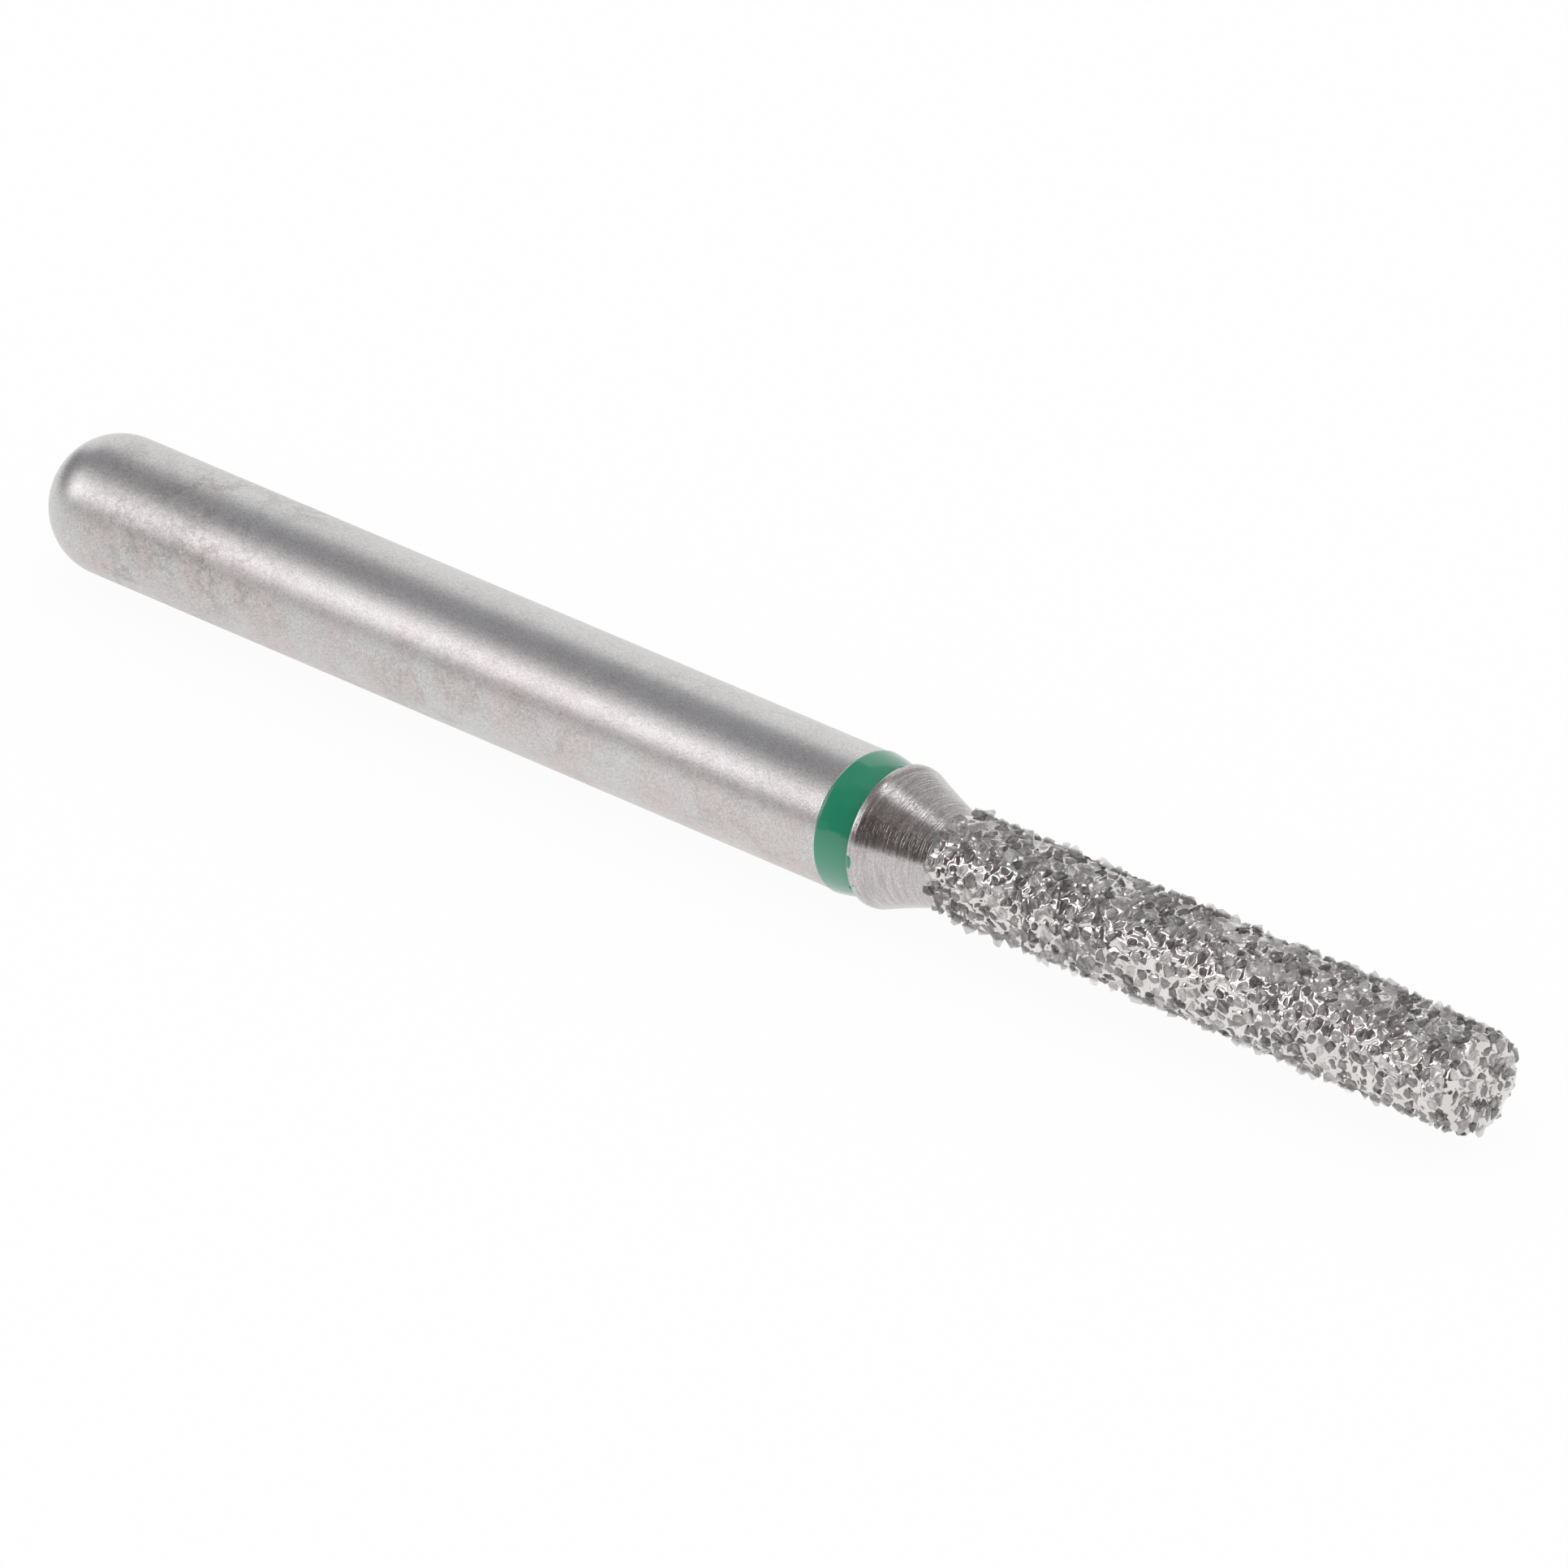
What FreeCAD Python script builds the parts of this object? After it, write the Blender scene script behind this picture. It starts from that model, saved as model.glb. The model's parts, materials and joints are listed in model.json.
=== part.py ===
import FreeCAD, Part
import math
import os
import random
from FreeCAD import Rotation, Vector

# Friction-grip diamond bur, straight flat-end head, in millimetres.
# Frame: the bur lies along +X with its working tip at +X. The origin is on the axis, in the
# middle of the shank's straight wall, where a chuck grips it.

# Shank
shank_diameter = 1.60
shank_length = 11.14          # straight wall, from the round end to the ring groove
dome_height = 0.78            # round end, a little flatter than a half ball

# Colour ring and its groove
ring_width = 0.48
groove_depth = 0.16
ring_front_thickness = 0.05   # enamel left at the front edge, where it falls below the rim
ring_bulge = 0.062            # rise of the enamel's curve above its straight chord

# Rim and neck
rim_width = 0.08
neck_length = 0.86
neck_hollow = 0.012           # how far the neck's curve lies inside a straight cone

# Head
core_diameter = 1.02
core_corner = 0.05            # rounding of the core's end
head_length = 7.40            # from the neck's small end to the nickel's flat tip
bond_thickness = 0.06
coat_lap = 0.09               # how far the nickel reaches back over the neck
bond_flats = 16               # narrow flats round the nickel skin, which is never truly round
corner_steps = 3              # flats along the rounded edge of the tip

# Diamond crystals
grain_size = 0.220            # widest measure of the largest crystal
grain_depth = 0.078           # from a crystal's widest level down to its lowest corner
grain_height = 0.062          # from there up to its top corner, at most
grain_closeness = 0.92        # least spacing of two crystals' middles, as a share of grain_size
grain_scatter = 0.010         # how far a crystal strays from its place in the spiral
grain_lean = 14.0             # largest lean of a crystal, in degrees
corner_swing = 14.0           # how far a side corner strays from its quarter, in degrees
corner_reach = (0.82, 0.99)   # side corners' distance from the middle, in crystal radii
corner_stray = 0.10           # how far they lie above or below the widest level, likewise
top_stray = 0.30              # how far the top corner lies off the middle, likewise
top_share = 0.60              # lowest top corner, as a share of grain_height
seat_film = 0.004             # nickel left between the core and a crystal's lowest point
bare_edge = 0.05              # nickel without crystals behind the rearmost one
grain_seed = 11

# Sizes that follow from those above
shank_radius = shank_diameter / 2
groove_radius = shank_radius - groove_depth
core_radius = core_diameter / 2
bond_radius = core_radius + bond_thickness
bond_corner = core_corner + bond_thickness
grain_radius = grain_size / 2
middle_height = seat_film + grain_depth
shank_start = -shank_length / 2
ring_start = shank_length / 2
ring_end = ring_start + ring_width
rim_end = ring_end + rim_width
neck_end = rim_end + neck_length
coat_start = neck_end - coat_lap
tip_end = neck_end + head_length
core_end = tip_end - bond_thickness

BUR_AXIS = Vector(1, 0, 0)
ORIGIN = Vector(0, 0, 0)
SIDE_CORNERS = 4
GOLDEN_ANGLE = math.pi * (3 - math.sqrt(5))
# Points of a golden-angle spiral stay at least this share of their pitch apart
SPIRAL_CLOSENESS = 0.945


def profile_point(x, radius):
    """Point of a turned profile, drawn in the XZ plane."""
    return Vector(x, 0, radius)


def line(start, end):
    return Part.LineSegment(start, end).toShape()


def arc_by_rise(start, end, rise):
    """Arc from start to end whose middle stands rise outside the straight chord."""
    chord = end - start
    outward = Vector(-chord.z, 0, chord.x)
    outward.normalize()
    middle = (start + end) * 0.5 + outward * rise
    return Part.Arc(start, middle, end).toShape()


def dome_edge():
    """Arc of the round end, from the axis to the shank's wall, centred on the axis."""
    dome_radius = (shank_radius ** 2 + dome_height ** 2) / (2 * dome_height)
    centre = shank_start - dome_height + dome_radius
    half_turn = math.acos(1 - dome_height / dome_radius) / 2
    rear = profile_point(shank_start - dome_height, 0)
    middle = profile_point(centre - dome_radius * math.cos(half_turn), dome_radius * math.sin(half_turn))
    return Part.Arc(rear, middle, profile_point(shank_start, shank_radius)).toShape()


def revolve(edges):
    """Solid turned round the bur's axis from a closed profile."""
    return Part.Face(Part.Wire(edges)).revolve(ORIGIN, BUR_AXIS, 360)


def make_steel_blank():
    """One turned piece: round-ended shank, ring groove, rim, neck and core."""
    rear = profile_point(shank_start - dome_height, 0)
    wall_start = profile_point(shank_start, shank_radius)
    groove_rear = profile_point(ring_start, shank_radius)
    floor_rear = profile_point(ring_start, groove_radius)
    floor_front = profile_point(ring_end, groove_radius)
    rim_rear = profile_point(ring_end, shank_radius)
    rim_front = profile_point(rim_end, shank_radius)
    neck_small = profile_point(neck_end, core_radius)
    corner_rear = profile_point(core_end - core_corner, core_radius)
    corner_middle = profile_point(
        core_end - core_corner + core_corner * math.sin(math.pi / 4),
        core_radius - core_corner + core_corner * math.cos(math.pi / 4))
    corner_front = profile_point(core_end, core_radius - core_corner)
    front = profile_point(core_end, 0)
    return revolve([
        dome_edge(),
        line(wall_start, groove_rear),
        line(groove_rear, floor_rear),
        line(floor_rear, floor_front),
        line(floor_front, rim_rear),
        line(rim_rear, rim_front),
        arc_by_rise(rim_front, neck_small, -neck_hollow),
        line(neck_small, corner_rear),
        Part.Arc(corner_rear, corner_middle, corner_front).toShape(),
        line(corner_front, front),
        line(front, rear),
    ])


def make_colour_ring():
    """Enamel that fills the groove: a bead, full at the rear and low at the front."""
    floor_rear = profile_point(ring_start, groove_radius)
    crest_rear = profile_point(ring_start, shank_radius)
    crest_front = profile_point(ring_end, groove_radius + ring_front_thickness)
    floor_front = profile_point(ring_end, groove_radius)
    return revolve([
        line(floor_rear, crest_rear),
        arc_by_rise(crest_rear, crest_front, ring_bulge),
        line(crest_front, floor_front),
        line(floor_front, floor_rear),
    ])


def flat_face(points):
    return Part.Face(Part.makePolygon(points + points[:1]))


def solid_from_faces(faces):
    solid = Part.Solid(Part.Shell(faces))
    if solid.Volume < 0:
        solid.reverse()
    return solid


def bond_outline():
    """Stations (x, radius) of the nickel skin, from its edge on the neck to the flat tip."""
    stations = [(coat_start, core_radius), (coat_start + bond_thickness, bond_radius)]
    for step in range(corner_steps + 1):
        turn = math.pi / 2 * step / corner_steps
        stations.append((tip_end - bond_corner + bond_corner * math.sin(turn),
                         bond_radius - bond_corner + bond_corner * math.cos(turn)))
    return stations


def bond_skin():
    """Closed nickel shape with narrow flats, before the core and the crystals are taken out."""
    loops = []
    for x, radius in bond_outline():
        angles = [2 * math.pi * flat / bond_flats for flat in range(bond_flats)]
        loops.append([Vector(x, radius * math.cos(a), radius * math.sin(a)) for a in angles])
    faces = [flat_face(loops[0]), flat_face(loops[-1])]
    for rear, front in zip(loops, loops[1:]):
        for flat in range(bond_flats):
            following = (flat + 1) % bond_flats
            faces.append(flat_face([rear[flat], front[flat], front[following], rear[following]]))
    return solid_from_faces(faces)


def seat_on_core(walk):
    """Point and outward normal of the core, reached by walking from the tip's centre.

    The walk is measured where the crystals are widest, and bends round the core's corner.
    """
    flat_end = core_radius - core_corner
    middle_corner = core_corner + middle_height
    corner_walk = middle_corner * math.pi / 2
    if walk < flat_end:
        return core_end, walk, Vector(1, 0, 0)
    if walk < flat_end + corner_walk:
        turn = (walk - flat_end) / middle_corner
        return (core_end - core_corner + core_corner * math.cos(turn),
                flat_end + core_corner * math.sin(turn),
                Vector(math.cos(turn), 0, math.sin(turn)))
    return core_end - core_corner - (walk - flat_end - corner_walk), core_radius, Vector(0, 0, 1)


def crystal_corners(rng):
    """Six corners of one irregular crystal: four round its widest level, top and bottom."""
    corners = []
    for side in range(SIDE_CORNERS):
        angle = 2 * math.pi * side / SIDE_CORNERS + math.radians(rng.uniform(-corner_swing, corner_swing))
        reach = grain_radius * rng.uniform(*corner_reach)
        rise = grain_radius * rng.uniform(-corner_stray, corner_stray)
        corners.append(Vector(reach * math.cos(angle), reach * math.sin(angle), rise))
    top_x = grain_radius * rng.uniform(-top_stray, top_stray)
    top_y = grain_radius * rng.uniform(-top_stray, top_stray)
    corners.append(Vector(top_x, top_y, grain_height * rng.uniform(top_share, 1)))
    corners.append(Vector(0, 0, -grain_depth))
    spin = Rotation(Vector(0, 0, 1), rng.uniform(0, 360))
    lean = Rotation(Vector(1, 0, 0), rng.uniform(0, grain_lean))
    turn = spin.multiply(lean)
    return [turn.multVec(corner) for corner in corners]


def crystal_solid(corners):
    """Flat faces from each pair of side corners to the top corner and to the bottom corner."""
    top, bottom = corners[SIDE_CORNERS:]
    faces = []
    for side in range(SIDE_CORNERS):
        left, right = corners[side], corners[(side + 1) % SIDE_CORNERS]
        faces.append(flat_face([left, right, top]))
        faces.append(flat_face([right, left, bottom]))
    return solid_from_faces(faces)


def crystal_places(rng):
    """Middles and normals of all crystals, on a golden-angle spiral from tip to coat edge."""
    least = grain_size * grain_closeness
    pitch = (least + 2 * grain_scatter) / SPIRAL_CLOSENESS
    rearmost = coat_start + bond_thickness + bare_edge + grain_radius
    places = []
    walk = pitch / math.sqrt(2 * math.pi)
    angle = 0.0
    while True:
        stray = rng.uniform(-grain_scatter, grain_scatter)
        x, radius, normal = seat_on_core(max(walk + stray, 0))
        if x < rearmost:
            return places
        radius_there = radius + middle_height * normal.z
        swing = angle + rng.uniform(-grain_scatter, grain_scatter) / radius_there
        outward = Vector(normal.x, normal.z * math.cos(swing), normal.z * math.sin(swing))
        seat = Vector(x, radius * math.cos(swing), radius * math.sin(swing))
        middle = seat + outward * middle_height
        if all(middle.distanceToPoint(other) >= least for other, _ in places):
            places.append((middle, outward))
        walk += pitch ** 2 / (2 * math.pi * radius_there)
        angle += GOLDEN_ANGLE


def make_crystals():
    """Every crystal stands on its lowest corner, just clear of the core."""
    rng = random.Random(grain_seed)
    crystals = []
    for middle, outward in crystal_places(rng):
        upright = Rotation(Vector(0, 0, 1), outward)
        corners = [middle + upright.multVec(corner) for corner in crystal_corners(rng)]
        crystals.append(crystal_solid(corners))
    return crystals


def make_nickel_bond(steel_blank, crystals):
    """Plated nickel: the skin less the steel inside it and a pocket for every crystal."""
    return bond_skin().cut(steel_blank).cut(crystals).Solids[0]


def export(shape, name):
    shape.exportStep(os.path.join("parts", name + ".step"))


def main():
    os.makedirs("parts", exist_ok=True)
    steel_blank = make_steel_blank()
    crystals = make_crystals()
    export(steel_blank, "steel_blank")
    export(make_colour_ring(), "colour_ring")
    export(make_nickel_bond(steel_blank, crystals), "nickel_bond")
    export(Part.makeCompound(crystals), "diamond_grit")


main()
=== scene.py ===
import json
import math
import random

import bmesh
import bpy
from mathutils import Matrix, Vector, noise

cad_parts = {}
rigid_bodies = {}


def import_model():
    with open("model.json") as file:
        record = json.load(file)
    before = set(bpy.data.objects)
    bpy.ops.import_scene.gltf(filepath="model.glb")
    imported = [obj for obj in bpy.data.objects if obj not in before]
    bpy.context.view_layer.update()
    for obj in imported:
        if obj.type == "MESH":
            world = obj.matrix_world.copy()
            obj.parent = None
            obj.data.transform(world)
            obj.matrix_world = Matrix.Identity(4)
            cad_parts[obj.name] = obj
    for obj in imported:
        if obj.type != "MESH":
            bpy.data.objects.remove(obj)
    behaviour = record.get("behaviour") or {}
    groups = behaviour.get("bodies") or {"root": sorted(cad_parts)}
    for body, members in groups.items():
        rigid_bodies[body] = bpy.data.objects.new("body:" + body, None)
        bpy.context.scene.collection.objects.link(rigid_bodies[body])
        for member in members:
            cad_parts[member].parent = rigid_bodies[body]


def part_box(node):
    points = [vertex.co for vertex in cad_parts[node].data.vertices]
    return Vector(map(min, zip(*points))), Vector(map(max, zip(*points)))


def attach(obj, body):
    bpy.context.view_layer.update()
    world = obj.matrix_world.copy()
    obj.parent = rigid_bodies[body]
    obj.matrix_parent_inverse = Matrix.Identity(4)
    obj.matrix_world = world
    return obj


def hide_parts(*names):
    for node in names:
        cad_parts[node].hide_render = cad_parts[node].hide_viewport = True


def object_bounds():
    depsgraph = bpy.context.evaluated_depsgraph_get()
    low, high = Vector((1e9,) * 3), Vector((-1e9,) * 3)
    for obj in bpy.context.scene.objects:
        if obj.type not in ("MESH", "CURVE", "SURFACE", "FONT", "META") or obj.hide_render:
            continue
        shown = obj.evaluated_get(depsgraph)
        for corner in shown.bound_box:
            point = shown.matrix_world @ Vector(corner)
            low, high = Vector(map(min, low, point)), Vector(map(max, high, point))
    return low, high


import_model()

bl_info = {
    "name": "Dental bur",
    "version": (1, 0, 0),
    "blender": (4, 5, 0),
    "location": "3D View > Sidebar > Bur",
    "description": "Builds the visible pieces of a friction-grip diamond bur and its studio",
    "category": "Object",
}

MM = 0.001
BODY = "root"

# Boxes of the solids, which every piece is fitted to
CAD_LOW, CAD_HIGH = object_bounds()
BLANK_LOW, BLANK_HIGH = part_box("steel_blank")
RING_LOW, RING_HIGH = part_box("colour_ring")
BOND_LOW, BOND_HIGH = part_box("nickel_bond")
GRIT_LOW, GRIT_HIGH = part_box("diamond_grit")
SHANK_RADIUS = max(BLANK_HIGH.y, BLANK_HIGH.z)

# Middle of the bur, where lamps and screens are aimed, and how far away they hang
STUDIO_AIM = Vector((0.004, 0, 0))
LAMP_DISTANCE = 0.32
SCREEN_DISTANCE = 0.30

# Drops of enamel on the rim: place from the ring's front edge, turn round the bur, and size
# along the bur, round it and in height, in millimetres
ENAMEL_DROPS = (
    (0.03, 0, (0.07, 0.16, 0.016)),
    (-0.03, -27, (0.05, 0.05, 0.012)),
    (0.04, -22, (0.035, 0.03, 0.008)),
    (-0.01, 95, (0.05, 0.06, 0.010)),
)

# Screens that shape the reflections: how far they reach along the bur and round it, and their colour
SCREENS = {
    "top_screen": ((-0.97, -0.26), (66, 118), (0.360, 0.358, 0.378)),
    "ring_screen": ((-0.26, -0.03), (80, 108), (0.42, 0.46, 0.44)),
    "left_screen": ((-0.9995, -0.90), (-4, 184), (0.30, 0.30, 0.31)),
    "back_screen": ((-0.42, -0.26), (15, 66), (0.16, 0.145, 0.145)),
    "near_screen": ((-0.26, -0.10), (4, 48), (0.140, 0.120, 0.118)),
    "front_screen": ((-0.10, 0.95), (0, 48), (0.140, 0.120, 0.118)),
    "high_screen": ((-0.26, 0.95), (48, 80), (0.265, 0.238, 0.236)),
    "rear_screen": ((-0.30, 0.90), (108, 172), (0.45, 0.44, 0.44)),
    "low_screen": ((-0.99, -0.26), (0, 15), (0.40, 0.37, 0.38)),
}

# Seeds of the random draws of each crystal
HEIGHT_SEED, LEAN_SEEDS, SPIN_SEED, SIZE_SEED, TONE_SEED = 11, (23, 29), 31, 37, 53


def length(name, description, default):
    """A length that a user can set, in metres."""
    return bpy.props.FloatProperty(
        name=name, description=description, default=default, unit="LENGTH", precision=6, step=0.001)


def angle(name, description, degrees):
    return bpy.props.FloatProperty(
        name=name, description=description, default=math.radians(degrees), subtype="ANGLE")


def share(name, description, default):
    return bpy.props.FloatProperty(
        name=name, description=description, default=default, min=0, max=1, subtype="FACTOR")


def colour(name, description, default):
    return bpy.props.FloatVectorProperty(
        name=name, description=description, default=default, size=3, min=0, max=1, subtype="COLOR")


class BlankSizes(bpy.types.PropertyGroup):
    dome_height: length("Dome height", "Depth of the round end", 0.78 * MM)
    groove_radius: length("Groove radius", "Radius of the floor of the ring groove", 0.64 * MM)
    edge_round: length("Edge round", "Rounding of the turned edges", 0.010 * MM)
    rim_width: length("Rim width", "Width of the narrow land in front of the ring", 0.08 * MM)
    rim_rise: length("Rim rise", "How far the rounded rim stands above the shank", 0.012 * MM)
    neck_length: length("Neck length", "Length of the cone from the rim to the core", 0.86 * MM)
    neck_hollow: length("Neck hollow", "How far the neck's curve lies inside a straight cone", 0.012 * MM)
    core_radius: length("Core radius", "Radius of the steel under the coating", 0.51 * MM)
    facets: bpy.props.IntProperty(name="Facets", description="Facets round the blank", default=256)


class RingSizes(bpy.types.PropertyGroup):
    front_thickness: length("Front thickness", "Enamel left at the ring's front edge", 0.06 * MM)
    bulge: length("Bulge", "Rise of the enamel above its straight chord", 0.014 * MM)
    crest: length("Crest", "Height of the enamel's rear edge above the shank", 0.016 * MM)
    edge_round: length("Edge round", "Rounding of that edge", 0.022 * MM)


class CoatSizes(bpy.types.PropertyGroup):
    skin_radius: length("Skin radius", "Radius of the nickel between the crystals", 0.538 * MM)
    corner: length("Corner", "Rounding of the nickel at the flat tip", 0.055 * MM)
    tip_rise: length("Tip rise", "How far the flat tip stands in front of the bond's solid", 0.040 * MM)
    edge_reach: length("Edge reach", "How far the coat's ragged edge wanders", 0.09 * MM)
    meniscus_height: length("Meniscus height", "Rise of the nickel against a crystal", 0.038 * MM)
    meniscus_width: length("Meniscus width", "Distance over which that rise fades", 0.028 * MM)
    waviness: length("Waviness", "Unevenness of the plated nickel", 0.010 * MM)
    facets_round: bpy.props.IntProperty(name="Facets round", description="Facets round the skin", default=204)
    facets_along: bpy.props.IntProperty(name="Facets along", description="Facets along the skin", default=430)


class GritSizes(bpy.types.PropertyGroup):
    spacing: length("Spacing", "Least distance between the middles of two crystals", 0.126 * MM)
    crystal_size: length("Crystal size", "Mean width of a crystal", 0.204 * MM)
    rise: length("Rise", "Least height of a crystal's middle above the nickel's surface", 0.000 * MM)
    rise_range: length("Rise range", "How much higher the highest crystals sit", 0.050 * MM)
    lean: angle("Lean", "Most that a crystal leans", 85)
    kinds: bpy.props.IntProperty(name="Kinds", description="Number of different crystal shapes", default=12)
    seed: bpy.props.IntProperty(name="Seed", description="Order of the random draws", default=5)


class BurColours(bpy.types.PropertyGroup):
    steel: colour("Steel", "Ground stainless steel", (0.655, 0.648, 0.645))
    blush: colour("Blush", "Pinkish patches of the steel", (0.655, 0.595, 0.588))
    dirt: colour("Dirt", "Grey-green specks on the steel", (0.330, 0.335, 0.310))
    stain: colour("Stain", "Warm haze on the steel", (0.470, 0.405, 0.385))
    neck: colour("Neck", "Turned steel of the neck", (0.640, 0.605, 0.598))
    enamel: colour("Enamel", "Green enamel of the ring", (0.002, 0.212, 0.111))
    # Painted light: the lighter enamel colour of the ring's lower side, standing in for light from below.
    enamel_painted_underlight: colour("Painted underlight", "Enamel where it lies thin, on the lower side", (0.095, 0.350, 0.240))
    nickel: colour("Nickel", "Plated nickel", (0.800, 0.770, 0.755))
    crystal_dark: colour("Dark crystal", "Darkest crystals", (0.042, 0.034, 0.033))
    crystal_light: colour("Light crystal", "Lightest crystals", (0.940, 0.915, 0.915))


class StudioSettings(bpy.types.PropertyGroup):
    azimuth: angle("Azimuth", "Camera's direction round the bur", 42.98)
    elevation: angle("Elevation", "Camera's height above the horizon", 27.12)
    distance: length("Distance", "From the camera to its aim", 286.7 * MM)
    aim_x: length("Aim along", "Place on the bur's axis that the camera looks at", 4.39 * MM)
    aim_z: length("Aim up", "Height of that place above the axis", 0.045 * MM)
    lens: bpy.props.FloatProperty(
        name="Lens", description="Focal length in mm on a 36 mm sensor", default=612.2)
    world_light: bpy.props.FloatProperty(
        name="World light", description="Strength of the studio's walls", default=0.92)
    floor_white: share("Floor white", "Share of plain white in the floor as it is seen", 0.94)


class Value:
    """A node socket that takes part in Python arithmetic."""

    def __init__(self, graph, socket):
        self.graph = graph
        self.socket = socket

    def math(self, operation, *others):
        return self.graph.node("ShaderNodeMath", {"operation": operation}, dict(enumerate((self, *others))))

    def __add__(self, other):
        return self.math("ADD", other)

    __radd__ = __add__

    def __sub__(self, other):
        return self.math("SUBTRACT", other)

    def __rsub__(self, other):
        return self.graph.node("ShaderNodeMath", {"operation": "SUBTRACT"}, {0: other, 1: self})

    def __mul__(self, other):
        return self.math("MULTIPLY", other)

    __rmul__ = __mul__

    def __truediv__(self, other):
        return self.math("DIVIDE", other)

    def __pow__(self, other):
        return self.math("POWER", other)

    def ramp(self, low, high, to_low=0.0, to_high=1.0):
        """Straight from to_low to to_high while this value goes from low to high, and level outside."""
        return self.graph.node("ShaderNodeMapRange", {"clamp": True},
                               {"Value": self, "From Min": low, "From Max": high,
                                "To Min": to_low, "To Max": to_high}, "Result")


class Graph:
    """A node tree that is written as expressions."""

    def __init__(self, tree):
        self.tree = tree

    def node(self, kind, settings=None, sockets=None, output=0):
        """A node of this kind: its settings are made first, then the values or links of its sockets."""
        made = self.tree.nodes.new(kind)
        for name, value in (settings or {}).items():
            setattr(made, name, value)
        for name, value in (sockets or {}).items():
            self.feed(made.inputs[name], value)
        return Value(self, made.outputs[output]) if len(made.outputs) else made

    def feed(self, target, value):
        if isinstance(value, Value):
            self.tree.links.new(value.socket, target)
        else:
            target.default_value = value

    def mix(self, factor, first, second, blend="MIX"):
        """Colour between first and second."""
        made = self.tree.nodes.new("ShaderNodeMix")
        made.data_type = "RGBA"
        made.blend_type = blend
        self.feed(made.inputs["Factor"], factor)
        for name, value in (("A", first), ("B", second)):
            target = next(s for s in made.inputs if s.name == name and s.type == "RGBA")
            self.feed(target, value if isinstance(value, Value) else (*value, 1))
        return Value(self, next(s for s in made.outputs if s.type == "RGBA"))

    def shaded(self, colour, value):
        """A colour times a plain number."""
        grey = self.node("ShaderNodeCombineColor", None, {0: value, 1: value, 2: value})
        return self.mix(1.0, colour, grey, "MULTIPLY")

    def vector(self, x, y, z):
        return self.node("ShaderNodeCombineXYZ", None, {"X": x, "Y": y, "Z": z})

    def parts(self, vector):
        """The X, Y and Z of a vector."""
        split = self.node("ShaderNodeSeparateXYZ", None, {0: vector})
        return [Value(self, output) for output in split.socket.node.outputs]

    def noise(self, place, scale, detail=2.0, roughness=0.5, output="Fac"):
        return self.node("ShaderNodeTexNoise", None,
                         {"Vector": place, "Scale": scale, "Detail": detail, "Roughness": roughness}, output)

    def bump(self, height, distance, strength=1.0, normal=None):
        sockets = {"Height": height, "Distance": distance, "Strength": strength}
        if normal is not None:
            sockets["Normal"] = normal
        return self.node("ShaderNodeBump", None, sockets)


def new_material(name):
    """An empty material and its graph."""
    material = bpy.data.materials.new(name)
    material.use_nodes = True
    material.node_tree.nodes.clear()
    return material, Graph(material.node_tree)


def finish_surface(graph, **sockets):
    """Ends a material in one Principled surface. Socket names have their spaces as underscores."""
    named = {name.replace("_", " "): value for name, value in sockets.items()}
    surface = graph.node("ShaderNodeBsdfPrincipled", None, named)
    graph.node("ShaderNodeOutputMaterial", None, {"Surface": surface})


def object_place(graph):
    """Object coordinates, whole and as the place along the bur, the radius and the turn round it."""
    place = graph.node("ShaderNodeTexCoord", None, None, "Object")
    x, y, z = graph.parts(place)
    radius = (y * y + z * z).math("SQRT")
    safe = radius.math("MAXIMUM", 1e-6)
    return place, x, radius, y / safe, z / safe


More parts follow.
